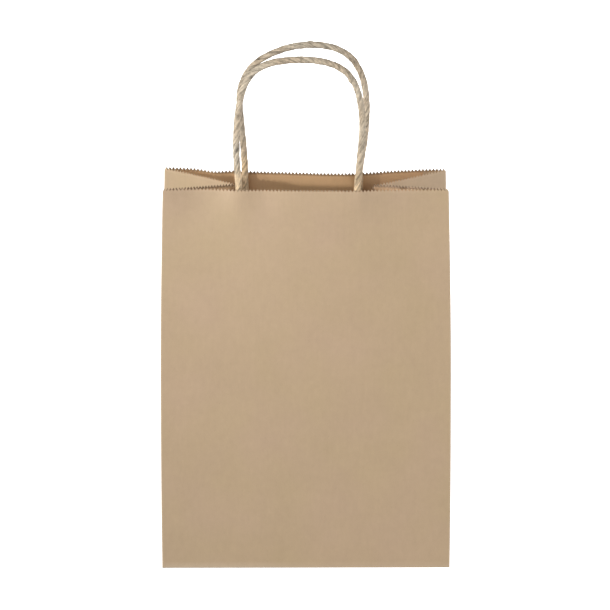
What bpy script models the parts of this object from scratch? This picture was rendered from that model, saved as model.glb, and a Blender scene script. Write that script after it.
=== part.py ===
"""A plain kraft-paper gift bag with two twisted-paper handles.

Units are metres, +Z is up, the front panel faces -Y and +X is to its right. The origin is
the middle of the bottom. The bag stands open: its front and back panels lean in from the
bottom edge, and each side gusset is pushed in, so it stands as three flat triangles, one web
hinged on the bottom and two gores hinged on the side edges of the front and back panels.
"""

from math import acos, atan2, cos, pi, radians, sin

import bmesh
import bpy
from mathutils import Matrix, Vector

# Driving dimensions
WIDTH = 0.2032
GUSSET = 0.12065
HEIGHT = 0.2667
PAPER = 0.0002
GLUE = 0.0001
GAP = 0.0003
PANEL_LEAN = radians(6.36)

# Serrated top edge
TEETH = 80
TOOTH_DEPTH = 0.0014
PITCH = WIDTH / TEETH
PANEL_COLUMNS = 20

# How far the top middle of each panel stands inside the line between its corners
FRONT_BOW = -0.0067
BACK_BOW = 0.0115

# Gusset clearances: a gore starts clear of its hinge line and ends clear of its twin
GORE_ROOT = 0.0011
GORE_TIP = 0.0009
WEB_INSET = 0.00055
WEB_START = 0.0008
WEB_CORNER_GAP = 0.0017
WEB_MARGIN = 0.0025
WEB_TIP_HALF_WIDTH = 0.0012
WEB_MARGIN_FROM = 0.056
PANEL_START = 0.0005

# Folded bottom
FLAP_OVERLAP = 0.025
FLAP_STEP = 0.0015
TUCK_LAP = 0.012
BOTTOM_EDGE_GAP = 0.0014

# Twisted-paper handles and the patches that hold them
ROPE = 0.0045
PATCH_WIDTH = 0.150
PATCH_HEIGHT = 0.038
PATCH_TOP = HEIGHT - 0.017
PATCH_FOOT = 0.007
FLAT_STATIONS = 7
ROPE_END = PATCH_TOP - 0.032
ROPE_END_GAP = 0.0009
PIVOT_RISE = 0.0032
LOOP_LEAN = radians(4.2)
ROPE_SAMPLE = 0.006
ROPE_ROUNDING = 4

# Side seam
SEAM_EDGE = 0.0045
SEAM_WIDTH = 0.012

# Each handle's route in its own plane, from the left leg over the top to the right leg
FRONT_ROUTE = [
    (-0.0460, 0.0000), (-0.0472, 0.0130), (-0.0476, 0.0260), (-0.0471, 0.0400), (-0.0458, 0.0530),
    (-0.0430, 0.0660), (-0.0385, 0.0755), (-0.0325, 0.0813), (-0.0245, 0.0850), (-0.0147, 0.0869),
    (-0.0043, 0.0877), (0.0061, 0.0872), (0.0144, 0.0858), (0.0213, 0.0833), (0.0275, 0.0794),
    (0.0323, 0.0740), (0.0355, 0.0675), (0.0377, 0.0595), (0.0390, 0.0500), (0.0394, 0.0405),
    (0.0390, 0.0305), (0.0381, 0.0205), (0.0371, 0.0105), (0.0360, 0.0000),
]
BACK_ROUTE = [
    (-0.0376, 0.0000), (-0.0388, 0.0100), (-0.0404, 0.0210), (-0.0416, 0.0320), (-0.0422, 0.0430),
    (-0.0420, 0.0525), (-0.0409, 0.0610), (-0.0390, 0.0690), (-0.0360, 0.0758), (-0.0318, 0.0820),
    (-0.0258, 0.0868), (-0.0185, 0.0902), (-0.0101, 0.0919), (-0.0017, 0.0922), (0.0066, 0.0913),
    (0.0150, 0.0892), (0.0245, 0.0855), (0.0330, 0.0805), (0.0395, 0.0740), (0.0438, 0.0662),
    (0.0459, 0.0575), (0.0463, 0.0480), (0.0456, 0.0370), (0.0446, 0.0260), (0.0436, 0.0150),
    (0.0428, 0.0000),
]

# Heights above a panel's mid-surface of the layers glued to its inner face
GLUE_LEVEL = PAPER / 2 + GAP + GLUE / 2
BACKING_LEVEL = GLUE_LEVEL + GLUE / 2 + GAP + PAPER / 2
COVER_LEVEL = BACKING_LEVEL + PAPER + GAP
ROPE_LEVEL = BACKING_LEVEL + PAPER / 2 + GAP + ROPE / 2
HUMP_RADIUS = ROPE / 2 + GAP + PAPER / 2

WEB_LEAN = acos((1 - GUSSET / (2 * HEIGHT) * sin(PANEL_LEAN)) / cos(PANEL_LEAN))
GORE_FOLD = acos((GUSSET / 2 - HEIGHT * sin(PANEL_LEAN)) / (GUSSET / 2 * cos(PANEL_LEAN)))


def material(name, colour, roughness):
    shade = bpy.data.materials.new(name)
    shade.use_nodes = True
    shader = shade.node_tree.nodes["Principled BSDF"]
    shader.inputs["Base Color"].default_value = (*colour, 1)
    shader.inputs["Roughness"].default_value = roughness
    shader.inputs["Metallic"].default_value = 0
    return shade


def empty(name, matrix, parent=None):
    """A joint's place: its origin is on the joint's axis."""
    holder = bpy.data.objects.new(name, None)
    bpy.context.scene.collection.objects.link(holder)
    holder.parent = parent
    holder.matrix_local = matrix
    return holder


def add(name, data, parent, shade):
    data.materials.append(shade)
    obj = bpy.data.objects.new(name, data)
    bpy.context.scene.collection.objects.link(obj)
    obj.parent = parent
    return obj


def sheet(name, faces, parent, shade, thickness=PAPER, place=Vector):
    """A sheet of paper or glue. faces are outlines of points, and place moves each point."""
    mesh = bmesh.new()
    corners = {}
    for face in faces:
        for point in face:
            key = tuple(round(value, 8) for value in point)
            if key not in corners:
                corners[key] = mesh.verts.new(place(point))
    for face in faces:
        mesh.faces.new([corners[tuple(round(value, 8) for value in point)] for point in face])
    bmesh.ops.recalc_face_normals(mesh, faces=mesh.faces)
    data = bpy.data.meshes.new(name)
    mesh.to_mesh(data)
    mesh.free()
    obj = add(name, data, parent, shade)
    thicken = obj.modifiers.new("thickness", "SOLIDIFY")
    thicken.thickness = thickness
    thicken.offset = 0
    return obj


def spread(low, high, count):
    return [low + (high - low) * i / count for i in range(count + 1)]


def grid(xs, zs, level):
    """Quads over the stations xs and zs. level(x) is the height above the panel."""
    return [
        [(x, level(x), z) for x, z in ((x0, z0), (x1, z0), (x1, z1), (x0, z1))]
        for x0, x1 in zip(xs, xs[1:])
        for z0, z1 in zip(zs, zs[1:])
    ]


def teeth(low, high):
    """The serrated edge from x = low to x = high, where both are at a tooth's foot."""
    count = round((high - low) / PITCH)
    step = (high - low) / (2 * count)
    return [(low + step * i, HEIGHT - (0 if i % 2 else TOOTH_DEPTH)) for i in range(2 * count + 1)]


def bow(x, z, amount):
    """How far a panel's curved top moves the point at x and z into the bag."""
    return amount * (z / HEIGHT) ** 2 * cos(pi * x / WIDTH) ** 2


def panel_faces():
    columns = spread(-WIDTH / 2, WIDTH / 2, PANEL_COLUMNS)
    rows = [PANEL_START] + spread(0.04, PATCH_TOP - PATCH_HEIGHT, 4) + [PATCH_TOP]
    faces = grid(columns, rows, lambda x: 0)
    for x0, x1 in zip(columns, columns[1:]):
        edge = [(x, 0, z) for x, z in reversed(teeth(x0, x1))]
        faces.append([(x0, 0, rows[-1]), (x1, 0, rows[-1])] + edge)
    return faces


def hump_stations(leg):
    """Where the patch's cover leaves the flat, rises round a rope leg and comes down again."""
    rise = ROPE_LEVEL - COVER_LEVEL
    reach = (PATCH_FOOT**2 + rise**2) ** 0.5
    touch = atan2(PATCH_FOOT, -rise) - acos(HUMP_RADIUS / reach)
    arc = [
        (leg - HUMP_RADIUS * sin(angle), ROPE_LEVEL + HUMP_RADIUS * cos(angle))
        for angle in spread(touch, -touch, 6)
    ]
    return [(leg - PATCH_FOOT, COVER_LEVEL)] + arc + [(leg + PATCH_FOOT, COVER_LEVEL)]


def build_wall(name, holder, amount, legs, shades):
    """A panel, the patch inside its top edge and the rope ends that the patch holds.

    legs holds each rope end's side of the bag and its place along the panel.
    """

    def curved(point):
        x, y, z = point
        return Vector((x, y + bow(x, z, amount), z))

    sheet(f"{name}_panel", panel_faces(), holder, shades["kraft"], place=curved)

    half = PATCH_WIDTH / 2
    rows = spread(PATCH_TOP - PATCH_HEIGHT, PATCH_TOP, 3)
    for part, level, inset, thickness, shade in (
        ("patch_glue", GLUE_LEVEL, 0.004, GLUE, "glue"),
        ("patch_backing", BACKING_LEVEL, 0, PAPER, "kraft"),
    ):
        faces = grid(spread(-half + inset, half - inset, 10), rows, lambda x, y=level: y)
        sheet(f"{name}_{part}", faces, holder, shades[shade], thickness, curved)

    humps = [hump_stations(leg) for _, leg in legs]
    height = dict([(-half, COVER_LEVEL)] + humps[0] + humps[1] + [(half, COVER_LEVEL)])
    ends = [-half] + [hump[i][0] for hump in humps for i in (0, -1)] + [half]
    for low, high in zip(ends[::2], ends[1::2]):
        for x in spread(low, high, FLAT_STATIONS)[1:-1]:
            height[x] = COVER_LEVEL
    faces = grid(sorted(height), rows, height.get)
    sheet(f"{name}_patch_cover", faces, holder, shades["kraft"], place=curved)

    top = HEIGHT + PIVOT_RISE - ROPE / 2 - ROPE_END_GAP
    for side, leg in legs:
        points = [curved((leg, ROPE_LEVEL, z)) for z in spread(ROPE_END, top, 6)]
        rope(f"{name}_rope_end_{side}", points, [1] * len(points), holder, shades["rope"])


def rope(name, points, radii, parent, shade):
    data = bpy.data.curves.new(name, "CURVE")
    data.dimensions = "3D"
    data.bevel_depth = ROPE / 2
    data.bevel_resolution = 2
    data.use_fill_caps = True
    spline = data.splines.new("POLY")
    spline.points.add(len(points) - 1)
    for slot, point, radius in zip(spline.points, points, radii):
        slot.co = (*point, 1)
        slot.radius = radius
    return add(name, data, parent, shade)


def smooth_route(route):
    """Points about ROPE_SAMPLE apart on the smooth curve through the route's own points."""
    knots = [Vector((x, 0, z)) for x, z in route]
    knots = [2 * knots[0] - knots[1]] + knots + [2 * knots[-1] - knots[-2]]
    points = []
    for a, b, c, d in zip(knots, knots[1:], knots[2:], knots[3:]):
        steps = max(1, round((c - b).length / ROPE_SAMPLE))
        for t in (i / steps for i in range(steps)):
            points.append(
                0.5 * (2 * b + (c - a) * t + (2 * a - 5 * b + 4 * c - d) * t**2
                       + (3 * b - a - 3 * c + d) * t**3)
            )
    return points + [knots[-2]]


def build_handle(name, holder, route, shades):
    """The loop above the pivot. Each end is rounded about the pivot, so that it can turn."""
    points = smooth_route(route)
    turns = [radians(90) * i / ROPE_ROUNDING for i in range(ROPE_ROUNDING, 0, -1)]
    rounded = [(ROPE / 2 * sin(a), max(cos(a), 0.12)) for a in turns]
    start = [points[0] - Vector((0, 0, drop)) for drop, _ in rounded]
    end = [points[-1] - Vector((0, 0, drop)) for drop, _ in reversed(rounded)]
    ball = [radius for _, radius in rounded]
    radii = ball + [1] * len(points) + ball[::-1]
    rope(name, start + points + end, radii, holder, shades["rope"])


def build_web(name, holder, shades):
    """The gusset's middle triangle, just inside the gores, with a margin behind their edges."""
    foot = GUSSET / 2 - WEB_CORNER_GAP
    knee = GUSSET / 2 * (1 - WEB_MARGIN_FROM / HEIGHT) + WEB_MARGIN
    half = [(foot, WEB_START), (knee, WEB_MARGIN_FROM), (WEB_TIP_HALF_WIDTH, HEIGHT - TOOTH_DEPTH)]
    outline = half + [(-x, z) for x, z in reversed(half)]
    sheet(name, [[(x, WEB_INSET, z) for x, z in outline]], holder, shades["kraft"])


def build_gore(name, holder, side, shades):
    """A gusset half's narrow triangle. side is 1 where it runs along +X from its hinge, or -1."""
    tip = GUSSET / 2 - GORE_TIP
    slope = HEIGHT / (GUSSET / 2)
    count = round((tip - GORE_ROOT) / PITCH)
    step = (tip - GORE_ROOT) / (2 * count)
    edge = [
        (tip - step * i, HEIGHT - (0 if i % 2 else TOOTH_DEPTH)) for i in range(2 * count + 1)
    ]
    outline = [(GORE_ROOT, GORE_ROOT * slope), (tip, tip * slope)] + edge
    sheet(name, [[(side * x, 0, z) for x, z in outline]], holder, shades["kraft"])


def flap_half_width(depth):
    """A bottom flap narrows at 45 degrees from the corners to the tips of the side tucks."""
    return WIDTH / 2 - min(depth, GUSSET / 2)


def build_bottom(shades):
    length = GUSSET / 2 + FLAP_OVERLAP / 2
    paste_level = PAPER + GAP + GLUE / 2
    upper = paste_level + GLUE / 2 + GAP + PAPER / 2
    lower = PAPER / 2
    step = GUSSET / 2 - FLAP_OVERLAP / 2 - 2 * FLAP_STEP
    stations = {
        "bottom_back_flap": (1, [(0, lower), (GUSSET / 2, lower), (length, lower)]),
        "bottom_front_flap": (
            -1,
            [(0, lower), (step, lower), (step + FLAP_STEP, upper), (GUSSET / 2, upper), (length, upper)],
        ),
    }
    for name, (side, profile) in stations.items():
        faces = []
        for (d0, z0), (d1, z1) in zip(profile, profile[1:]):
            w0, w1 = flap_half_width(d0), flap_half_width(d1)
            y0, y1 = side * (GUSSET / 2 - d0), side * (GUSSET / 2 - d1)
            faces.append([(-w0, y0, z0), (w0, y0, z0), (w1, y1, z1), (-w1, y1, z1)])
        sheet(name, faces, None, shades["kraft"])

    paste = (WIDTH - GUSSET) / 2 - 0.004
    edge = FLAP_OVERLAP / 2 - 0.002
    outline = [(-paste, -edge), (paste, -edge), (paste, edge), (-paste, edge)]
    face = [(x, y, paste_level) for x, y in outline]
    sheet("bottom_flap_paste", [face], None, shades["glue"], GLUE)

    tuck_level = upper + PAPER + GAP
    outer = WIDTH / 2 - BOTTOM_EDGE_GAP
    half = GUSSET / 2 - BOTTOM_EDGE_GAP
    for name, side in (("bottom_left_tuck", -1), ("bottom_right_tuck", 1)):
        tip = (WIDTH - GUSSET) / 2 - TUCK_LAP / 2
        outline = [(outer, -half), (outer - TUCK_LAP, -half), (tip, -TUCK_LAP), (tip, TUCK_LAP),
                   (outer - TUCK_LAP, half), (outer, half)]
        sheet(name, [[(side * x, y, tuck_level) for x, y in outline]], None, shades["kraft"])


def build_seam(holder, amount, shades):
    """The glued lap that closes the sheet into a tube, inside the back panel's edge."""

    def curved(point):
        x, y, z = point
        return Vector((x, y + bow(x, z, amount), z))

    near = WIDTH / 2 - SEAM_EDGE
    far = near - SEAM_WIDTH
    top = HEIGHT - TOOTH_DEPTH - GAP
    for name, level, inset, thickness, shade in (
        ("side_seam_glue", GLUE_LEVEL, 0.002, GLUE, "glue"),
        ("side_seam_lap", BACKING_LEVEL, 0, PAPER, "kraft"),
    ):
        xs = [-near + inset, -far - inset]
        faces = grid(xs, spread(0.004, top - inset, 6), lambda x, y=level: y)
        sheet(name, faces, holder, shades[shade], thickness, curved)


def wall_matrix(turn, half_depth, lean):
    """Local X runs along the bottom edge, local Y into the bag and local Z up the panel."""
    return (
        Matrix.Rotation(turn, 4, "Z")
        @ Matrix.Translation((0, -half_depth, 0))
        @ Matrix.Rotation(-lean, 4, "X")
    )


def main():
    for obj in list(bpy.data.objects):
        bpy.data.objects.remove(obj)
    shades = {
        "kraft": material("kraft_paper", (0.52, 0.38, 0.25), 0.85),
        "rope": material("twisted_paper", (0.42, 0.36, 0.28), 0.9),
        "glue": material("paper_glue", (0.80, 0.74, 0.60), 0.6),
    }
    build_bottom(shades)

    walls = {
        "front": (0, FRONT_BOW, FRONT_ROUTE, ("left", "right")),
        "back": (pi, BACK_BOW, BACK_ROUTE, ("right", "left")),
    }
    for name, (turn, amount, route, sides) in walls.items():
        hinge = empty(f"{name}_hinge", wall_matrix(turn, GUSSET / 2, PANEL_LEAN))
        legs = list(zip(sides, (route[0][0], route[-1][0])))
        build_wall(name, hinge, amount, legs, shades)
        if name == "back":
            build_seam(hinge, amount, shades)

        level = ROPE_LEVEL + sum(bow(leg, HEIGHT, amount) for _, leg in legs) / 2
        pivot = Matrix.Translation((0, level, HEIGHT + PIVOT_RISE))
        upright = Matrix.Rotation(PANEL_LEAN - LOOP_LEAN, 4, "X")
        holder = empty(f"{name}_handle_pivot", pivot @ upright, hinge)
        build_handle(f"{name}_handle", holder, route, shades)

        for facing, side in zip(sides, (-1, 1)):
            fold = Matrix.Rotation(-side * (pi / 2 - GORE_FOLD), 4, "Z")
            edge = Matrix.Translation((side * WIDTH / 2, 0, 0))
            holder = empty(f"{facing}_{name}_crease", edge @ fold, hinge)
            build_gore(f"{facing}_{name}_gore", holder, -side, shades)

    for name, turn in (("left", -pi / 2), ("right", pi / 2)):
        hinge = empty(f"{name}_hinge", wall_matrix(turn, WIDTH / 2, WEB_LEAN))
        build_web(f"{name}_gusset_web", hinge, shades)


main()
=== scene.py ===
"""The looks of a kraft-paper gift bag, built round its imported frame.

Lengths are metres. A wall's own coordinates are x along its bottom edge, y into the bag and
z up the sheet, as in the solids. Every sheet is a closed mesh of real paper thickness.
"""

from math import acos, ceil, cos, pi, radians, sin, tan

import bpy
import numpy as np
from mathutils import Matrix, Vector, noise


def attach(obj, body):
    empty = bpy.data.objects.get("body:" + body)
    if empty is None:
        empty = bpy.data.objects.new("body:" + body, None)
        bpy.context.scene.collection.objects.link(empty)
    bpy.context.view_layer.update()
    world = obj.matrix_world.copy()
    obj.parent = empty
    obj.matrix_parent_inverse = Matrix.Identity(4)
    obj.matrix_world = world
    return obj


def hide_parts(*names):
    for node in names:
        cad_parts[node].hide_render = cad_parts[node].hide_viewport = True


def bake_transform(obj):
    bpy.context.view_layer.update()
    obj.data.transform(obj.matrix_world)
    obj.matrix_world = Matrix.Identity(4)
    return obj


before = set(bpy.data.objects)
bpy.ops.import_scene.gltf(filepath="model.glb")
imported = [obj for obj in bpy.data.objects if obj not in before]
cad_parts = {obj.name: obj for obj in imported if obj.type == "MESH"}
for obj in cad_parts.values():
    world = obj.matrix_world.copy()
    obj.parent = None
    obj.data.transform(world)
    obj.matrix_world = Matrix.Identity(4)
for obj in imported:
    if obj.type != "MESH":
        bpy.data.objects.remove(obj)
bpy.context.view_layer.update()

# Driving dimensions, as in the solids
WIDTH = 0.2032
GUSSET = 0.12065
HEIGHT = 0.2667
PAPER = 0.0002
GLUE = 0.0001
GAP = 0.0003
PANEL_LEAN = radians(6.36)
TEETH = 80
PITCH = WIDTH / TEETH
FRONT_BOW = -0.0067
BACK_BOW = 0.0115
ROPE = 0.0045
PATCH_WIDTH = 0.150
PATCH_HEIGHT = 0.038
PATCH_TOP = HEIGHT - 0.017
PIVOT_RISE = 0.0032
LOOP_LEAN = radians(4.2)
SEAM_EDGE = 0.0045
SEAM_WIDTH = 0.012
FLAP_OVERLAP = 0.025
FLAP_STEP = 0.0015
GLUE_LEVEL = PAPER / 2 + GAP + GLUE / 2
BACKING_LEVEL = GLUE_LEVEL + GLUE / 2 + GAP + PAPER / 2
COVER_LEVEL = BACKING_LEVEL + PAPER + GAP
ROPE_LEVEL = BACKING_LEVEL + PAPER / 2 + GAP + ROPE / 2
WEB_LEAN = acos((1 - GUSSET / (2 * HEIGHT) * sin(PANEL_LEAN)) / cos(PANEL_LEAN))
GORE_FOLD = acos((GUSSET / 2 - HEIGHT * sin(PANEL_LEAN)) / (GUSSET / 2 * cos(PANEL_LEAN)))

# Sizes of this script's own
TOOTH = 0.0018  # deeper than the solids' teeth
PASTE_MARGIN = 0.004
SEAM_FOOT = 0.004
FLAP_GAP = 0.0002

# How real paper differs from the flat plates
NOMINAL_HALF = WIDTH / 2
FULL_HALF = 0.1007
FOOT_DRAW = 0.0006
FOOT_DRAW_TO = 0.35
MOUTH_DRAW = 0.0020
MOUTH_DRAW_FROM = 0.5
RIPPLE = 0.00014
SIDE_FOLD = 0.00042
FRONT_TWIST = 0.0017
BACK_TWIST = 0.0040
# Waves near a wall's cut edge: place along it, how far inwards, width, and how far down they reach
FRONT_WAVES = [
    (-0.1000, -0.0018, 0.0130, 0.040),
    (-0.0715, 0.0036, 0.0170, 0.034), (-0.0465, -0.0020, 0.0085, 0.030),
    (-0.0290, 0.0014, 0.0100, 0.030), (0.0330, -0.0026, 0.0210, 0.034),
    (0.0375, -0.0008, 0.0050, 0.026),
]
BACK_WAVES = [
    (0.0640, 0.0038, 0.0090, 0.060), (-0.0580, -0.0010, 0.0130, 0.060),
    (0.0100, -0.0038, 0.0350, 0.090), (-0.0900, -0.0034, 0.0300, 0.080),
]
BOTTOM_FOLD = 0.0008
STRIP = PITCH
TOP_ROW_DROP = 0.0004  # how far a sheet's last whole row stands below the teeth's feet
# How far the teeth's tips, and the row below them, stand out of line
TIP_WOBBLE = 0.00018
FOOT_WOBBLE = 0.00008
PANEL_CREASE_WIDTH = 0.0006

# Each handle's route in its own plane, from the leg on its wall's -x side over the top to the other
FRONT_ROUTE = [
    (-0.0460, 0.0000), (-0.0472, 0.0130), (-0.0476, 0.0260), (-0.0471, 0.0400), (-0.0458, 0.0530),
    (-0.0430, 0.0660), (-0.0385, 0.0755), (-0.0325, 0.0813), (-0.0245, 0.0850), (-0.0147, 0.0869),
    (-0.0043, 0.0877), (0.0061, 0.0872), (0.0144, 0.0858), (0.0213, 0.0833), (0.0275, 0.0794),
    (0.0323, 0.0740), (0.0355, 0.0675), (0.0377, 0.0595), (0.0390, 0.0500), (0.0394, 0.0405),
    (0.0390, 0.0305), (0.0381, 0.0205), (0.0371, 0.0105), (0.0360, 0.0000),
]
BACK_ROUTE = [
    (-0.0376, 0.0000), (-0.0388, 0.0100), (-0.0404, 0.0210), (-0.0416, 0.0320), (-0.0422, 0.0430),
    (-0.0420, 0.0525), (-0.0409, 0.0610), (-0.0390, 0.0690), (-0.0360, 0.0758), (-0.0318, 0.0820),
    (-0.0258, 0.0868), (-0.0185, 0.0902), (-0.0101, 0.0919), (-0.0017, 0.0922), (0.0066, 0.0913),
    (0.0150, 0.0892), (0.0245, 0.0855), (0.0330, 0.0805), (0.0395, 0.0740), (0.0438, 0.0662),
    (0.0459, 0.0575), (0.0463, 0.0480), (0.0456, 0.0370), (0.0446, 0.0260), (0.0436, 0.0150),
    (0.0428, 0.0000),
]


# ---------------------------------------------------------------- camera and light

AIM = Vector((-0.0003, 0, 0.1739))
DISTANCE = 3.6
CAMERA_YAW = radians(-0.35)
CAMERA_ELEVATION = radians(14.61)
LENS = 303.3
SUNLIGHT = (1, 0.985, 0.95)


def direction(azimuth, elevation):
    """The direction from the bag towards something. Azimuth 0 is in front, plus is right."""
    return Vector((
        sin(azimuth) * cos(elevation), -cos(azimuth) * cos(elevation), sin(elevation)
    ))


def add_object(name, data):
    obj = bpy.data.objects.new(name, data)
    bpy.context.scene.collection.objects.link(obj)
    return obj


def face(obj, way):
    """Turns a camera or a lamp to look along `way`."""
    obj.rotation_mode = "QUATERNION"
    obj.rotation_quaternion = way.to_track_quat("-Z", "Y")


def make_camera():
    data = bpy.data.cameras.new("camera")
    data.lens = LENS
    data.sensor_width = 36
    data.clip_start = 0.1
    data.clip_end = 50
    camera = add_object("camera", data)
    towards = direction(CAMERA_YAW, CAMERA_ELEVATION)
    camera.location = AIM + DISTANCE * towards
    face(camera, -towards)
    bpy.context.scene.camera = camera


def make_sun(name, azimuth, elevation, strength, softness, colour):
    data = bpy.data.lights.new(name, "SUN")
    data.energy = strength
    data.angle = softness
    data.color = colour
    face(add_object(name, data), -direction(azimuth, elevation))


def make_softbox(name, place, aim, size, power):
    data = bpy.data.lights.new(name, "AREA")
    data.size = size
    data.energy = power
    lamp = add_object(name, data)
    lamp.location = place
    lamp.visible_camera = False
    face(lamp, Vector(aim) - Vector(place))


def make_studio():
    world = bpy.data.worlds.new("studio")
    world.use_nodes = True
    world.node_tree.nodes["Background"].inputs["Color"].default_value = (1, 1, 1, 1)
    world.node_tree.nodes["Background"].inputs["Strength"].default_value = 0.20
    bpy.context.scene.world = world
    make_sun("key", radians(-57), radians(6), 1.25, radians(1.5), SUNLIGHT)
    make_sun("left", radians(-75), radians(5), 1.0, radians(3), SUNLIGHT)
    make_softbox("upper left", (-1.0, -0.9, 1.1), (0, 0, 0.15), 0.8, 5.5)
    make_softbox("low front", (-0.10, -0.35, 0.335), (0, 0, 0.22), 0.2, 0.31)
    make_softbox("front right fill", (1.0, -1.0, 0.45), (0, 0, 0.20), 0.6, 2.5)
    make_softbox("side fill", (1.4, -0.3, 0.45), (0, 0, 0.20), 0.8, 10)
    make_softbox("back fill", (0.5, 1.6, 0.5), (0, 0, 0.15), 1.0, 12)

    size = 8
    data = bpy.data.meshes.new("floor")
    data.from_pydata([(-size, -size, 0), (size, -size, 0), (size, size, 0), (-size, size, 0)], [],
                     [(0, 1, 2, 3)])
    floor = add_object("floor", data)
    shade = bpy.data.materials.new("floor")
    shade.use_nodes = True
    shader = shade.node_tree.nodes["Principled BSDF"]
    shader.inputs["Base Color"].default_value = (0.95, 0.95, 0.95, 1)
    shader.inputs["Roughness"].default_value = 0.9
    shader.inputs["Emission Color"].default_value = (1, 1, 1, 1)
    shader.inputs["Emission Strength"].default_value = 1.0
    data.materials.append(shade)
    floor.visible_diffuse = False
    bpy.context.scene.view_settings.view_transform = "Standard"


# ---------------------------------------------------------------- materials


class Nodes:
    """A short way to add nodes and links to one material."""

    def __init__(self, name):
        self.material = bpy.data.materials.new(name)
        self.material.use_nodes = True
        self.tree = self.material.node_tree
        self.shader = self.tree.nodes["Principled BSDF"]

    def add(self, kind, links=(), **values):
        node = self.tree.nodes.new(kind)
        for key, value in values.items():
            setattr(node, key, value)
        for socket, source in dict(links).items():
            if isinstance(source, bpy.types.NodeSocket):
                self.tree.links.new(source, node.inputs[socket])
            else:
                node.inputs[socket].default_value = source
        return node.outputs[0]

    def noise(self, place, scale, detail=2.0, roughness=0.5):
        """Noise from 0 to 1 over the point `place`, stretched by the three scales, in 1/m."""
        point = self.add("ShaderNodeVectorMath", {0: place, 1: scale}, operation="MULTIPLY")
        return self.add("ShaderNodeTexNoise", {
            "Vector": point, "Scale": 1.0, "Detail": detail, "Roughness": roughness,
        })

    def around(self, value, amount, middle=0.5):
        """(value - middle) * amount"""
        less = self.add("ShaderNodeMath", {0: value, 1: middle}, operation="SUBTRACT")
        return self.add("ShaderNodeMath", {0: less, 1: amount}, operation="MULTIPLY")

    def total(self, first, *others):
        for other in others:
            first = self.add("ShaderNodeMath", {0: first, 1: other}, operation="ADD")
        return first

    def attribute(self, name):
        node = self.tree.nodes.new("ShaderNodeAttribute")
        node.attribute_name = name
        return node.outputs["Fac"]

    def finish(self, colour, brightness, roughness, bump, bump_distance, strength):
        """Colour times brightness into the shader, with its roughness and a bump."""
        shade = self.add("ShaderNodeVectorMath", {0: colour, 3: brightness}, operation="SCALE")
        self.tree.links.new(shade, self.shader.inputs["Base Color"])
        self.shader.inputs["Roughness"].default_value = roughness
        self.shader.inputs["Specular IOR Level"].default_value = 0.35
        normal = self.add("ShaderNodeBump", {
            "Height": bump, "Distance": bump_distance, "Strength": strength,
        })
        self.tree.links.new(normal, self.shader.inputs["Normal"])
        return self.material


def mixed(nodes, factor, first, second):
    node = nodes.tree.nodes.new("ShaderNodeMix")
    node.data_type = "RGBA"
    nodes.tree.links.new(factor, node.inputs[0])
    for socket, value in ((node.inputs[6], first), (node.inputs[7], second)):
        if isinstance(value, bpy.types.NodeSocket):
            nodes.tree.links.new(value, socket)
        else:
            socket.default_value = (*value, 1)
    return node.outputs[2]


def kraft_material(name, colour, light, tips):
    """Brown machine paper: cloudy pulp, streaks along the roll, fibres, and paler folds, partly
    worn paper and partly a painted highlight.

    The last argument is how much lighter (a painted highlight) or darker (painted shade) the cut
    teeth are painted than the rest.
    """
    nodes = Nodes(name)
    place = nodes.tree.nodes.new("ShaderNodeTexCoord").outputs["Object"]
    cloud = nodes.noise(place, (34, 34, 34), 3)
    flock = nodes.noise(place, (260, 260, 200), 4, 0.6)
    streak = nodes.noise(place, (620, 620, 16), 2)
    fibre = nodes.noise(place, (3200, 3200, 700), 3, 0.65)
    fleck = nodes.noise(place, (1500, 1500, 420), 1)
    fleck = nodes.add("ShaderNodeMapRange", {
        "Value": fleck, "From Min": 0.70, "From Max": 0.82, "To Min": 0, "To Max": 1,
    })
    brightness = nodes.total(
        1.0,
        nodes.around(cloud, 0.10),
        nodes.around(flock, 0.11),
        nodes.around(streak, 0.05),
        nodes.around(fibre, 0.16),
        nodes.around(fleck, -0.10, 0),
        # Painted shade or painted highlight on the cut teeth
        nodes.around(nodes.attribute("tips"), tips, 0),
    )
    warm = nodes.noise(place, (21, 21, 21), 2)
    warm = nodes.add("ShaderNodeMapRange", {"Value": warm, "From Min": 0.3, "From Max": 0.7})
    red, green, blue = colour
    greener, redder = (red * 0.99, green * 1.005, blue * 0.97), (red * 1.01, green, blue * 1.04)
    tint = mixed(nodes, warm, greener, redder)
    # Paler where the paper is worn, and a painted highlight on the panels' bottom folds
    tint = mixed(nodes, nodes.attribute("wear_and_highlight"), tint, light)
    height = nodes.total(nodes.around(fibre, 0.5), nodes.around(flock, 1.0))
    return nodes.finish(tint, brightness, 0.5, height, 0.0002, 0.35)


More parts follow.
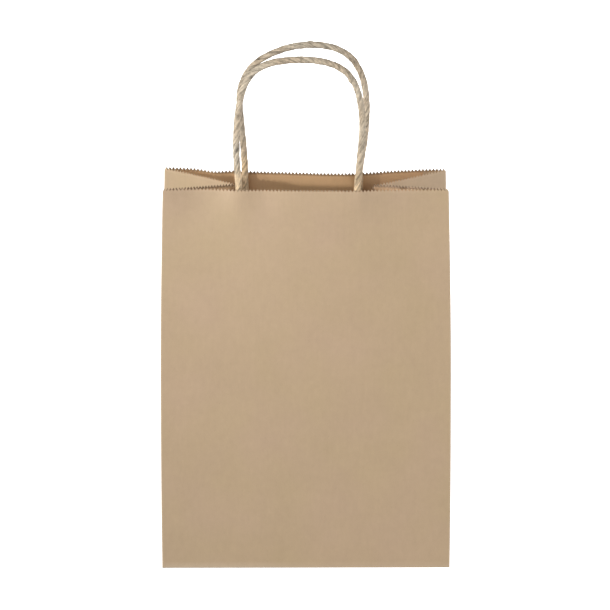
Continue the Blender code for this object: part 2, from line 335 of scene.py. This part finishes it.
def rope_material():
    """Twisted paper: greyer than the bag, with painted shade in the grooves and folds, painted
    highlights on the ridges, and painted warm bounce light near the bag.
    """
    nodes = Nodes("twisted_paper_look")
    place = nodes.tree.nodes.new("ShaderNodeTexCoord").outputs["Object"]
    groove = nodes.attribute("groove")
    crease = nodes.attribute("crease")
    grain = nodes.noise(place, (1500, 1500, 1500), 3, 0.6)
    speck = nodes.noise(place, (420, 420, 420), 2)
    patch = nodes.noise(place, (75, 75, 75), 2)
    brightness = nodes.total(
        1.0,
        # Painted highlight on the ridges and painted shade in the crumpled folds, following the
        # surface's crease relief
        nodes.around(crease, 1.0),
        nodes.around(grain, 0.18),
        nodes.around(speck, 1.2),
        nodes.around(patch, 0.18),
        # Painted shade in the grooves between the plies
        nodes.around(groove, -0.33, 0),
    )
    tint = nodes.noise(place, (48, 48, 48), 2)
    tint = nodes.add("ShaderNodeMapRange", {"Value": tint, "From Min": 0.35, "From Max": 0.65})
    colour = mixed(nodes, tint, (0.526, 0.423, 0.304), (0.515, 0.441, 0.340))
    # Painted warm light bounced off the paper, on the legs near the bag
    colour = mixed(nodes, nodes.attribute("painted_bounce_light"), colour, (0.70, 0.51, 0.305))
    height = nodes.total(nodes.around(grain, 0.6), nodes.around(crease, 0.6))
    return nodes.finish(colour, brightness, 0.72, height, 0.0002, 0.4)


def glue_material():
    nodes = Nodes("dried_paste")
    place = nodes.tree.nodes.new("ShaderNodeTexCoord").outputs["Object"]
    smear = nodes.noise(place, (120, 120, 300), 3)
    return nodes.finish((0.74, 0.66, 0.50), nodes.total(0.9, nodes.around(smear, 0.3)), 0.4, smear,
                        0.0001, 0.3)


# ---------------------------------------------------------------- sheets


def paint(data, name, values):
    """Gives each vertex a number that the materials read by this name."""
    data.attributes.new(name, "FLOAT", "POINT").data.foreach_set("value", values)


def solid_sheet(name, points, thickness, outside, inside=None, wear_and_highlight=None, cut=False):
    """A closed sheet round a grid of mid-surface points, shaped (rows, columns, 3).

    outside and inside are its materials. The wear grid, from 0 to 1, is shown by the materials as
    paler paper: worn folds, and on the panels' bottom folds also a painted highlight. With cut, the
    last two rows are marked for the teeth's painted shading: painted shade on the inner paper and a
    slight painted highlight on the outer.
    """
    rows, columns = points.shape[:2]
    normal = np.cross(np.gradient(points, axis=1), np.gradient(points, axis=0))
    size = np.linalg.norm(normal, axis=2, keepdims=True)
    normal = normal / np.maximum(size, 1e-15)
    sides = (points + normal * thickness / 2, points - normal * thickness / 2)
    vertices = np.concatenate([side.reshape(-1, 3) for side in sides])
    vertices[:, 2] = np.maximum(vertices[:, 2], 0)
    count = rows * columns
    index = np.arange(count).reshape(rows, columns)
    a, b = index[:-1, :-1].ravel(), index[:-1, 1:].ravel()
    c, d = index[1:, 1:].ravel(), index[1:, :-1].ravel()
    faces = [np.stack([a, b, c, d], 1), np.stack([d, c, b, a], 1) + count]
    rim = np.concatenate([
        index[0, :-1], index[:-1, -1], index[-1, :0:-1], index[:0:-1, 0]
    ])
    after = np.roll(rim, -1)
    faces.append(np.stack([rim, rim + count, after + count, after], 1))
    data = bpy.data.meshes.new(name)
    data.from_pydata(vertices.tolist(), [], np.concatenate(faces).tolist())
    values = np.zeros((rows, columns)) if wear_and_highlight is None else wear_and_highlight
    paint(data, "wear_and_highlight", np.tile(values.ravel(), 2).astype(np.float32))
    # Painted shade and highlight on the cut teeth: the last two rows, which the inner paper paints
    # darker and the outer paper a little lighter
    tips = np.zeros((rows, columns))
    if cut:
        tips[-1] = 1
        tips[-2] = 0.45
    paint(data, "tips", np.tile(tips.ravel(), 2).astype(np.float32))
    data.shade_smooth()
    data.set_sharp_from_angle(angle=radians(50))
    data.materials.append(outside)
    if inside:
        data.materials.append(inside)
        quads = (rows - 1) * (columns - 1)
        side = np.zeros(len(data.polygons), np.int32)
        side[quads : 2 * quads] = 1
        data.polygons.foreach_set("material_index", side)
    return add_object(name, data)


def half_width(z):
    """Half the bag's width at height z: its foot and, more, its mouth draw in."""
    t = z / HEIGHT
    foot = np.maximum(0, 1 - t / FOOT_DRAW_TO) ** 2
    mouth = np.maximum(0, (t - MOUTH_DRAW_FROM) / (1 - MOUTH_DRAW_FROM)) ** 1.6
    return FULL_HALF - FOOT_DRAW * foot - MOUTH_DRAW * mouth


def saw(distance):
    """1 at each tooth's tip and 0 at its foot, along a cut edge."""
    part = np.mod(distance / PITCH, 1)
    return 1 - np.abs(2 * part - 1)


def foot_profile(radius, lean, steps=7):
    """A bottom fold's points (y, z) from under the bag up to where the flat sheet starts."""
    turn = pi / 2 + lean
    reach = radius * tan(turn / 2)
    angles = np.linspace(turn, 0, steps)
    return radius - radius * np.cos(angles), PAPER / 2 + reach - radius * np.sin(angles)


def wall_matrix(turn, half_depth, lean):
    return np.array(
        Matrix.Rotation(turn, 4, "Z")
        @ Matrix.Translation((0, -half_depth, 0))
        @ Matrix.Rotation(-lean, 4, "X")
    )


def placed(matrix, x, y, z):
    """World points, shaped like x, y and z with a last axis of 3."""
    x, y, z = np.broadcast_arrays(x, y, z)
    local = np.stack([x, y, z, np.ones_like(z)], axis=-1)
    return (local @ matrix.T)[..., :3]


class Wall:
    """The front or the back panel, with the shape that the paper has taken."""

    def __init__(self, name, turn, bow, twist, waves, route, leg_names, fold_names):
        self.name = name
        self.sign = 1 if turn == 0 else -1  # its own x and y run this way along the bag's
        self.bow = bow
        self.twist = twist
        self.waves = waves
        self.route = route
        self.legs = dict(zip(leg_names, (route[0][0], route[-1][0])))
        self.fold_names = fold_names
        self.matrix = wall_matrix(turn, GUSSET / 2, PANEL_LEAN)

    def surface(self, x, z):
        """The panel's height y over its own plane: bow, twist, ripple and the waves by its edge."""
        t = np.clip(z / HEIGHT, 0, 1)
        inner = np.cos(pi * x / WIDTH) ** 2
        across = self.sign * x
        ripple = RIPPLE * inner * np.sin(pi * np.minimum(t * 1.6, 1)) * (
            np.sin(across * 47 + z * 21 + self.sign) + 0.7 * np.sin(across * 23 - z * 38 + 2)
        )
        y = (self.bow * inner - self.twist * x / NOMINAL_HALF) * t**2 + ripple
        for place, inwards, width, reach in self.waves:
            rise = np.clip((z - HEIGHT + reach) / reach, 0, 1)
            y = y + inwards * np.exp(-(((x - place) / width) ** 2)) * rise**2 * (3 - 2 * rise)
        return y

    def at(self, x, z, level=0):
        return placed(self.matrix, x, self.surface(x, z) + level, z)


FRONT = Wall("front", 0, FRONT_BOW, FRONT_TWIST, FRONT_WAVES, FRONT_ROUTE,
             ("left", "right"), ("left", "right"))
BACK = Wall("back", pi, BACK_BOW, BACK_TWIST, BACK_WAVES, BACK_ROUTE,
            ("right", "left"), ("right", "left"))


def wall_rows(count=84):
    """The heights of a tall sheet's rows above its bottom fold, closer together at the top."""
    start = foot_profile(BOTTOM_FOLD, PANEL_LEAN)[1][-1]
    t = np.linspace(0, 1, count + 1)[1:]
    return start + (HEIGHT - TOOTH - TOP_ROW_DROP - start) * (1 - (1 - t) ** 1.25)


def with_teeth(distance, rows):
    """Each column's rows and, last, the cut edge's height. distance runs along the edge."""
    columns = np.tile(rows[:, None], (1, len(distance)))
    edge = HEIGHT - TOOTH * (1 - saw(distance))
    return np.vstack([columns, edge[None, :]])


def tooth_wobble(points, seed):
    """Bends the cut edge's points a little out of line, each tooth its own way."""
    for column in range(points.shape[1]):
        shift = noise.noise(Vector((column * 0.37, seed, 0.5)))
        points[-1, column, 1] += TIP_WOBBLE * shift
        points[-2, column, 1] += FOOT_WOBBLE * shift


def make_panel(wall, outside, inside):
    """A panel from its bottom fold to its cut edge, without the last tooth at each side."""
    teeth = TEETH - 2
    curl_y, curl_z = foot_profile(BOTTOM_FOLD, PANEL_LEAN)
    fraction = np.linspace(-1, 1, 2 * teeth + 1)
    heights = with_teeth((fraction + 1) / 2 * teeth * PITCH, wall_rows())
    heights = np.vstack([np.tile(curl_z[:, None], (1, len(fraction))), heights])
    offset = np.zeros_like(heights)
    offset[: len(curl_y)] = curl_y[:, None]
    x = fraction * (half_width(heights) - STRIP)
    points = placed(wall.matrix, x, wall.surface(x, heights) + offset, heights)
    tooth_wobble(points, 3.1 if wall is FRONT else 8.7)
    wear_and_highlight = np.zeros_like(heights)
    # Bottom fold: paler as worn paper, and more so towards the left end as a painted highlight
    # where the light comes from the left
    wear_and_highlight[: len(curl_y)] = 0.3 + 0.25 * np.clip(-2 * fraction * wall.sign, 0, 1)
    if wall is BACK:
        wear_and_highlight += 0.35 * np.exp(-(((heights - GUSSET / 2) / PANEL_CREASE_WIDTH) ** 2))
    wear_and_highlight = np.clip(wear_and_highlight, 0, 1)
    sheet = solid_sheet(f"{wall.name}_sheet", points, PAPER, outside, inside, wear_and_highlight, cut=True)
    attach(sheet, f"{wall.name}_wall")
    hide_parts(f"{wall.name}_panel")


GORE_TIP_GAP = 0.0004
GORE_BULGE = 0.0006
# How far each gusset's tip leans towards the front and into the bag
TIP_SHIFT = {"left": (0, 0), "right": (0.0042, 0.0028)}
ARC_STEPS = 9
ARC_LENGTH = 0.0011
GORE_TEETH = 24


def make_gore(wall, side, fold_name, outside, inside):
    """Half a gusset, with the rounded fold and the strip of panel that it hangs on.

    side is 1 at the wall's +x edge and -1 at the other.
    """
    curl_y, curl_z = foot_profile(BOTTOM_FOLD, PANEL_LEAN)
    strip = np.linspace(0, 1, 5)[:-1]
    arc = np.linspace(-pi / 2, GORE_FOLD, ARC_STEPS)
    flat = np.linspace(0, 1, 2 * GORE_TEETH + 1)[1:]
    along = np.concatenate([
        strip * PITCH, PITCH + np.linspace(0, ARC_LENGTH, ARC_STEPS), flat * GORE_TEETH * PITCH
    ])
    heights = with_teeth(along, wall_rows())
    heights[-1, len(strip) : len(strip) + ARC_STEPS] = HEIGHT - TOOTH
    heights = np.vstack([np.tile(curl_z[:, None], (1, len(along))), heights])

    half = half_width(heights[:, :1])
    arc_x = half - SIDE_FOLD
    edge_y = wall.surface(side * arc_x, heights[:, :1])
    start_x = half - STRIP
    strip_x = start_x + (arc_x - start_x) * strip
    strip_y = wall.surface(side * strip_x, heights[:, :1])
    fold_x = arc_x + SIDE_FOLD * np.cos(arc)
    fold_y = edge_y + SIDE_FOLD + SIDE_FOLD * np.sin(arc)
    forward, towards = TIP_SHIFT[fold_name]
    tip_x = WIDTH / 2 - GUSSET / 2 * sin(GORE_FOLD) - towards
    tip_y = GUSSET / 2 * cos(GORE_FOLD) - GORE_TIP_GAP - forward * wall.sign
    rise = np.clip(heights[:, len(strip) + ARC_STEPS :] / HEIGHT, 0.002, 1)
    bulge = GORE_BULGE * np.sin(pi * flat) * rise * side * wall.sign
    flat_x = fold_x[:, -1:] + (tip_x - fold_x[:, -1:]) * flat * rise
    flat_y = fold_y[:, -1:] + (tip_y - fold_y[:, -1:]) * flat * rise + bulge
    x = np.hstack([strip_x, fold_x, flat_x])
    y = np.hstack([strip_y, fold_y, flat_y])
    y[: len(curl_y)] += curl_y[:, None]
    points = placed(wall.matrix, side * x, y, heights)
    if side < 0:
        points = points[:, ::-1]
    wear_and_highlight = np.zeros(heights.shape)
    wear_and_highlight[:, len(strip) : len(strip) + ARC_STEPS] = 0.5
    wear_and_highlight[:, -1] = 0.4
    wear_and_highlight[: len(curl_y), : len(strip)] = 0.4
    if side < 0:
        wear_and_highlight = wear_and_highlight[:, ::-1]
    name = f"{fold_name}_{wall.name}"
    gore = solid_sheet(f"{name}_fold_sheet", points, PAPER, outside, inside, wear_and_highlight, cut=True)
    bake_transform(gore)
    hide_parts(f"{name}_gore")


WEB_INSET = 0.00055
WEB_TIP = 0.0012
WEB_CREASE = 0.0007
WEB_CREASE_WIDTH = 0.0005
WEB_FOOT = 0.0004
# The strip that the web's bottom fold sends under the tuck: how far in, and how high, each row is
WEB_STRIP_LEVELS = [0.0050, 0.0025]
WEB_STRIP_HEIGHTS = [0.0021, 0.0013]


def web_margin(z):
    """How far the web reaches behind the gores' edges, either side."""
    return np.interp(z, [0, 0.012, 0.060, HEIGHT], [-0.0003, -0.0003, 0.0025, 0.0025])


def make_web(name, turn, outside, inside):
    """The gusset's middle: a bottom fold, a strip under the tuck and a tall triangle."""
    matrix = wall_matrix(turn, WIDTH / 2, WEB_LEAN)
    curl_y, curl_z = foot_profile(BOTTOM_FOLD, WEB_LEAN)
    curl_z = curl_z + WEB_FOOT
    upper = curl_z[-1] + (HEIGHT - 0.002 - curl_z[-1]) * np.linspace(0, 1, 100)[1:]
    z = np.concatenate([WEB_STRIP_HEIGHTS, curl_z, upper, [HEIGHT - TOOTH]])[:, None]
    folded = len(WEB_STRIP_LEVELS) + len(curl_y)
    level = np.concatenate([WEB_STRIP_LEVELS, curl_y, np.zeros(len(z) - folded)])[:, None]
    v = z / HEIGHT
    half = np.maximum(GUSSET / 2 * (1 - v) + web_margin(z), WEB_TIP)
    half[:2] = half[2] - np.array(WEB_STRIP_LEVELS)[:, None]
    across = np.linspace(-1, 1, 49)[None, :]
    shift = (1 - v) * (NOMINAL_HALF - half_width(z) + 0.0002)
    crease = WEB_CREASE * (1 - np.abs(across)) * np.clip(v * 4, 0, 1) * np.clip((1 - v) * 4, 0, 1)
    forward, inward = TIP_SHIFT[name]
    x = across * half + forward * (1 if name == "left" else -1) * v
    y = level + WEB_INSET + shift + crease + inward * v
    points = placed(matrix, x, y, z)
    wear_and_highlight = 0.5 * np.exp(-((x / WEB_CREASE_WIDTH) ** 2)) * (z > 0.004)
    diagonal = np.abs(z + np.abs(x) - GUSSET / 2) / WEB_CREASE_WIDTH
    wear_and_highlight = wear_and_highlight + 0.4 * np.exp(-(diagonal**2))
    wear_and_highlight[2:folded] = 0.4
    wear_and_highlight = np.clip(wear_and_highlight, 0, 1)
    web = solid_sheet(f"{name}_gusset_sheet", points, PAPER, outside, inside, wear_and_highlight)
    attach(web, f"{name}_web")
    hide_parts(f"{name}_gusset_web")


def make_layer(wall, name, nodes, xs, zs, level, thickness, material):
    """Something flat glued inside a panel. level is its height, one number or one for each x."""
    z = np.asarray(zs)[:, None]
    x = np.asarray(xs)[None, :] * half_width(z) / NOMINAL_HALF
    points = placed(wall.matrix, x, wall.surface(x, z) + level, z + 0 * x)
    layer = solid_sheet(name, points, thickness, material)
    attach(layer, f"{wall.name}_wall")
    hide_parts(*nodes)
    return layer


# The patch's cover: how far from a leg's middle it hugs the rope, and how steeply it then falls
COVER_HUG = 0.0026
COVER_FALL = 0.62
LEG_REACH = 0.009


def cover_level(x, legs):
    """The patch's cover stretches over each rope leg and lies flat between them."""
    top = ROPE_LEVEL + ROPE / 2 + GAP + PAPER / 2
    level = np.full_like(x, COVER_LEVEL)
    for leg in legs:
        near = np.abs(x - leg)
        hump = ROPE_LEVEL + np.sqrt(np.maximum((top - ROPE_LEVEL) ** 2 - near**2, 0))
        ramp = ROPE_LEVEL + 0.0002 - (near - COVER_HUG) * COVER_FALL
        ramp = np.where(near < COVER_HUG, hump, ramp)
        level = np.maximum(level, ramp)
    return level


def make_patch(wall, kraft, glue):
    half = PATCH_WIDTH / 2
    rows = np.linspace(PATCH_TOP - PATCH_HEIGHT, PATCH_TOP, 24)
    name = wall.name
    pasted = np.linspace(-half + PASTE_MARGIN, half - PASTE_MARGIN, 61)
    flat = np.linspace(-half, half, 121)
    make_layer(wall, f"{name}_patch_paste", [f"{name}_patch_glue"], pasted, rows, GLUE_LEVEL,
               GLUE, glue)
    make_layer(wall, f"{name}_patch_back_sheet", [f"{name}_patch_backing"], flat, rows,
               BACKING_LEVEL, PAPER, kraft)
    fine = [np.linspace(leg - LEG_REACH, leg + LEG_REACH, 61) for leg in wall.legs.values()]
    xs = np.unique(np.round(np.concatenate([flat, *fine]), 5))
    scale = half_width(PATCH_TOP) / NOMINAL_HALF
    level = cover_level(xs * scale, wall.legs.values())
    make_layer(wall, f"{name}_patch_front_sheet", [f"{name}_patch_cover"], xs, rows,
               level[None, :], PAPER, kraft)


def make_seam(kraft, glue):
    near = NOMINAL_HALF - SEAM_EDGE
    xs = np.linspace(-near, -near + SEAM_WIDTH, 13)
    top = HEIGHT - TOOTH - GAP
    make_layer(BACK, "seam_paste", ["side_seam_glue"], xs[2:-2],
               np.linspace(SEAM_FOOT, top - 0.002, 60), GLUE_LEVEL, GLUE, glue)
    make_layer(BACK, "seam_lap_sheet", ["side_seam_lap"], xs, np.linspace(SEAM_FOOT, top, 90),
               BACKING_LEVEL, PAPER, kraft)


# ---------------------------------------------------------------- bottom


def make_flap(name, side, overlap_high, outside, inside):
    """A bottom flap, cut back at 45 degrees. With overlap_high it steps up over the other one."""
    start = BOTTOM_FOLD * tan((pi / 2 + PANEL_LEAN) / 2) + FLAP_GAP
    length = GUSSET / 2 + FLAP_OVERLAP / 2
    depth = np.linspace(start, length, 75)[:, None]
    lower = PAPER / 2
    upper = PAPER + GAP + GLUE + GAP + PAPER / 2
    if overlap_high:
        step = GUSSET / 2 - FLAP_OVERLAP / 2 - 2 * FLAP_STEP
        t = np.clip((depth - step) / (2 * FLAP_STEP), 0, 1)
        level = lower + (upper - lower) * t * t * (3 - 2 * t)
    else:
        level = lower + 0 * depth
    across = np.linspace(-1, 1, 61)[None, :]
    half = FULL_HALF - FOOT_DRAW - np.minimum(depth, GUSSET / 2)
    x = across * half
    points = np.stack([x, side * (GUSSET / 2 - depth) + 0 * x, level + 0 * x], axis=-1)
    if side < 0:
        points = points[:, ::-1]
    wear_and_highlight = np.zeros(points.shape[:2])
    wear_and_highlight[:2] = 0.5
    flap = solid_sheet(f"{name}_sheet", points, PAPER, outside, inside, wear_and_highlight)
    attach(flap, "base")
    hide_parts(name)


# ---------------------------------------------------------------- ropes

ROPE_PITCH = 0.026
RING_STEP = 0.0005
RING_SIDES = 36
ROPE_START = PATCH_TOP - 0.027
SHIFT_REACH = 0.060
ROPE_SWELL = 1.06
# Each loop has sunk to this much of its height, and shifted this far along its wall
SETTLED = {"front": 0.986, "back": 0.981}
SIDEWAYS = {"front": -0.0003, "back": -0.0006}
# A loose end of the paper strip on each loop: its place on the route and which way it sticks out
LUMPS = {"front": (0.0323, 0.0740, -0.75, -0.65), "back": (-0.0030, 0.0922, 0.0, 1.0)}
# Painted bounce light: the rope is painted warmer near the bag, as by light reflected off the
# paper:
# fully up to the first distance from each end, and then less and less up to the second
BOUNCE_LIGHT_REACH = (0.050, 0.061)
BOUNCE_LIGHT = 0.75
LEG_TOP = HEIGHT - 0.004  # the legs keep to the paper up to here
ROPE_WANDER = 0.00022
ROPE_WANDER_EASE = 0.04
LUMP_HEIGHT = 0.0007
LUMP_SIZE = 0.0016


def smooth_line(knots, step):
    """Points a step apart on the smooth curve through the knots."""
    knots = [2 * knots[0] - knots[1], *knots, 2 * knots[-1] - knots[-2]]
    points = []
    for a, b, c, d in zip(knots, knots[1:], knots[2:], knots[3:]):
        for t in np.linspace(0, 1, 24, endpoint=False):
            points.append(
                0.5 * (2 * b + (c - a) * t + (2 * a - 5 * b + 4 * c - d) * t**2
                       + (3 * b - a - 3 * c + d) * t**3)
            )
    points = np.array([*points, knots[-2]])
    along = np.concatenate([[0], np.cumsum(np.linalg.norm(np.diff(points, axis=0), axis=1))])
    at = np.linspace(0, along[-1], ceil(along[-1] / step) + 1)
    return np.stack([np.interp(at, along, points[:, k]) for k in range(3)], axis=1), at


def loop_point(wall, x, y, z):
    """A point of the route once the loop has settled."""
    return Vector((x + SIDEWAYS[wall.name], y, z * SETTLED[wall.name]))


def edge_level(wall):
    """The bowed edge's mean height where the two legs cross it."""
    return sum(wall.bow * cos(pi * leg / WIDTH) ** 2 for leg in wall.legs.values()) / 2


def loop_plane(wall):
    """The loop's own plane: x along the wall, z up the loop."""
    pivot = Matrix.Translation((0, edge_level(wall) + ROPE_LEVEL, HEIGHT + PIVOT_RISE))
    return Matrix(wall.matrix.tolist()) @ pivot @ Matrix.Rotation(PANEL_LEAN - LOOP_LEAN, 4, "X")


def handle_line(wall):
    """The handle's middle line, from inside the patch, round the loop and back into the patch.

    The legs keep to the paper. The loop starts where they end and eases into its own plane.
    """
    plane = loop_plane(wall)
    legs = list(wall.legs.values())
    shift = [float(wall.surface(leg, HEIGHT)) - edge_level(wall) for leg in legs]
    loop = []
    for x, z in wall.route:
        aside = np.interp(x, legs, shift) * max(0, 1 - z / SHIFT_REACH) ** 2
        loop.append(np.array(plane @ loop_point(wall, x, aside, z)))
    heights = np.linspace(ROPE_START, LEG_TOP, 6)
    ends = []
    for leg in legs:
        level = wall.surface(leg, heights) + ROPE_LEVEL
        ends.append(placed(wall.matrix, leg + SIDEWAYS[wall.name], level, heights))
    return smooth_line([*ends[0], *loop, *ends[1][::-1]], RING_STEP)


def rope_surface(angle, along, seed):
    """The rope's radius at an angle round it and a place along it, its groove and its crease.

    Three plies of twisted paper: rounded ridges with creases along the lay, small folds where
    the paper is crumpled, and here and there the free edge of the paper strip.
    """
    drift = 0.5 * noise.noise(Vector((along * 60, seed, 0)))
    lay = angle - 2 * pi * along / ROPE_PITCH + drift
    warped = lay + 0.22 * sin(lay + seed)
    deep = 0.85 + 0.5 * noise.noise(Vector((along * 90, seed, 4)))
    ply = abs(cos(1.5 * warped)) ** 0.75
    groove = (1 - ply) * deep
    around = Vector((cos(lay) * 2.6, sin(lay) * 2.6, along * 55 + seed))
    crumple = Vector((cos(lay) * 1.9, sin(lay) * 1.9, along * 150 + seed))
    fold = max(0, 1 - 5 * abs(noise.noise(crumple)))
    crease = noise.noise(around) + 0.6 * noise.noise(around * 2.3) - 0.8 * fold
    edge_lay = (lay + seed * 2) % (2 * pi)
    edge_here = min(1, max(0, 0.4 + 1.6 * noise.noise(Vector((along * 45, seed, 9)))))
    edge = edge_here * max(0, 1 - edge_lay / 1.6)
    fat = 1 + 0.07 * noise.noise(Vector((along * 75, seed, 13)))
    radius = ROPE / 2 * ROPE_SWELL * fat * (1.0 - 0.12 * groove + 0.045 * crease + 0.07 * edge)
    # The third value also drives the material's painted highlight on ridges and painted shade in
    # folds
    return radius, groove, 0.6 + 0.42 * crease + 0.15 * edge


def make_rope(wall, seed, material):
    line, along = handle_line(wall)
    for k in range(len(line)):
        ease = min(1, along[k] / ROPE_WANDER_EASE, (along[-1] - along[k]) / ROPE_WANDER_EASE)
        wander = [noise.noise(Vector((along[k] * 42, seed, 21 + 10 * axis))) for axis in range(3)]
        line[k] += ROPE_WANDER * ease * np.array(wander)
    tangent = np.gradient(line, axis=0)
    tangent /= np.linalg.norm(tangent, axis=1)[:, None]
    side = Vector(wall.matrix[:3, 1])
    vertices, grooves, creases, painted_bounce_lights = [], [], [], []
    for point, ahead, place in zip(line, tangent, along):
        to_end = min(place, along[-1] - place)
        # How much painted warm bounce light this ring gets near the bag
        painted_bounce_light = float(np.interp(to_end, BOUNCE_LIGHT_REACH, (BOUNCE_LIGHT, 0)))
        ahead = Vector(ahead)
        side = (side - ahead * side.dot(ahead)).normalized()
        other = ahead.cross(side)
        for angle in (2 * pi * k / RING_SIDES for k in range(RING_SIDES)):
            radius, groove, crease = rope_surface(angle, float(place), seed)
            vertices.append(Vector(point) + radius * (side * cos(angle) + other * sin(angle)))
            grooves.append(groove)
            creases.append(crease)
            painted_bounce_lights.append(painted_bounce_light)
    lump_x, lump_z, *way = LUMPS[wall.name]
    plane = loop_plane(wall)
    outward = (plane.to_3x3() @ Vector((way[0], 0, way[1]))).normalized()
    lump = plane @ loop_point(wall, lump_x, 0, lump_z) + outward * ROPE / 2
    for vertex in vertices:
        near = (vertex - lump).length / LUMP_SIZE
        vertex += outward * LUMP_HEIGHT * float(np.exp(-(near**2)))
    rings = len(line)
    index = np.arange(rings * RING_SIDES).reshape(rings, RING_SIDES)
    after = np.roll(index, -1, axis=1)
    faces = np.stack([index[:-1], after[:-1], after[1:], index[1:]], -1).reshape(-1, 4).tolist()
    faces += [index[0][::-1].tolist(), index[-1].tolist()]
    data = bpy.data.meshes.new(f"{wall.name}_rope")
    data.from_pydata(vertices, [], faces)
    for name, values in (("groove", grooves), ("crease", creases), ("painted_bounce_light", painted_bounce_lights)):
        paint(data, name, values)
    data.shade_smooth()
    data.set_sharp_from_angle(angle=radians(80))
    data.materials.append(material)
    rope = add_object(f"{wall.name}_rope", data)

    leg = wall.route[0][0]
    exit_at = wall.at(np.array(leg), np.array(PATCH_TOP), ROPE_LEVEL)
    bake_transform(rope)
    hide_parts(f"{wall.name}_handle", f"{wall.name}_rope_end_left",
                f"{wall.name}_rope_end_right")


# ---------------------------------------------------------------- the bag

make_camera()
make_studio()

rope_look = rope_material()
make_rope(FRONT, 1.7, rope_look)
make_rope(BACK, 5.3, rope_look)

# The outer paper paints its cut teeth a little lighter, a painted highlight.
kraft_look = kraft_material("kraft_paper_look", (0.497, 0.360, 0.227), (0.62, 0.49, 0.35), 0.08)
# The inner paper is a brighter, warmer copy of the kraft: painted light standing in for light
# shining through the paper and bouncing inside the bag.
inner_glow_look = kraft_material(
    "kraft_paper_inner_look", (0.67, 0.428, 0.236), (0.74, 0.54, 0.36), -0.80
)
patch_look = kraft_material("patch_paper_look", (0.48, 0.34, 0.225), (0.62, 0.48, 0.36), 0)
paste_look = glue_material()

for wall in (FRONT, BACK):
    make_panel(wall, kraft_look, inner_glow_look)
    make_patch(wall, patch_look, paste_look)
    for side, fold_name in zip((-1, 1), wall.fold_names):
        make_gore(wall, side, fold_name, kraft_look, inner_glow_look)
make_web("left", -pi / 2, kraft_look, inner_glow_look)
make_web("right", pi / 2, kraft_look, inner_glow_look)
make_seam(kraft_look, paste_look)
make_flap("bottom_back_flap", 1, False, kraft_look, inner_glow_look)
make_flap("bottom_front_flap", -1, True, kraft_look, inner_glow_look)

for name, look in (("bottom_left_tuck", inner_glow_look), ("bottom_right_tuck", inner_glow_look),
                   ("bottom_flap_paste", paste_look)):
    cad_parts[name].data.materials.clear()
    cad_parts[name].data.materials.append(look)
